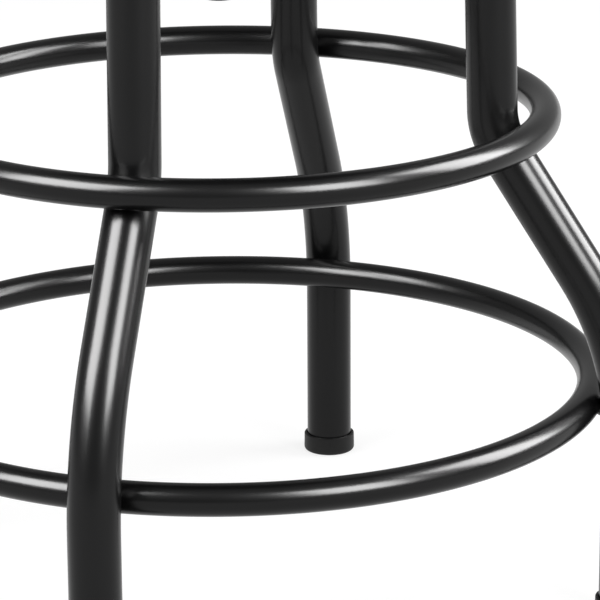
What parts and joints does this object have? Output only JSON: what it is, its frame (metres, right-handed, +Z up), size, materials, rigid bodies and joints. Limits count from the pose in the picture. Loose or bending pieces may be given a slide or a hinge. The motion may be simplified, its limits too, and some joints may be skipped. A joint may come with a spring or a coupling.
{
  "type": "bar stool",
  "caption": "Backless bar stool: round padded seat that turns on a lift screw to change height, on splayed bent-tube legs tied by an outer and an inner foot ring.",
  "frame": {"origin": "on the floor, under the centre of the seat", "axes": "+Z up along the lift screw, front towards -Y, legs on the diagonals"},
  "size_m": [0.3998, 0.3998, 0.611],
  "materials": {
    "black_powder_coat": "satin",
    "black_oxide_steel": "oiled",
    "zinc_steel": "zinc plated",
    "cap_plastic": "moulded, fine matte",
    "nylon": "moulded",
    "plywood": "raw",
    "foam": "open cell",
    "black_vinyl": "grained, semi-matte",
    "dust_cloth": "non-woven"
  },
  "bodies": {
    "frame": {"leg_front_left": "black_powder_coat", "leg_front_right": "black_powder_coat", "leg_rear_right": "black_powder_coat", "leg_rear_left": "black_powder_coat", "upper_ring": "black_powder_coat", "lower_ring": "black_powder_coat", "foot_caps": "cap_plastic", "hub_sleeve": "black_powder_coat", "lift_nut": "black_oxide_steel"},
    "washer": {"landing_washer": "nylon"},
    "seat": {"lift_screw": "black_oxide_steel", "stop_pin": "zinc_steel", "screw_boss": "black_powder_coat", "seat_plate": "black_powder_coat", "seat_bolts": "zinc_steel", "t_nuts": "zinc_steel", "seat_board": "plywood", "seat_foam": "foam", "seat_top_panel": "black_vinyl", "seat_side_band": "black_vinyl", "seat_welt": "black_vinyl", "dust_cover": "dust_cloth"}
  },
  "joints": [
    {"name": "seat_turn", "type": "hinge", "parent": "frame", "child": "washer", "pos_m": [0, 0, 0.541], "axis": [0, 0, 1], "range_deg": [0, 8400]},
    {"name": "seat_lift", "type": "slide", "parent": "washer", "child": "seat", "axis": [0, 0, 1], "range_m": [0, 0.14]}
  ],
  "couplings": [
    {"joint": "seat_lift", "follows": "seat_turn", "m_per_rad": 0.00095492}
  ]
}
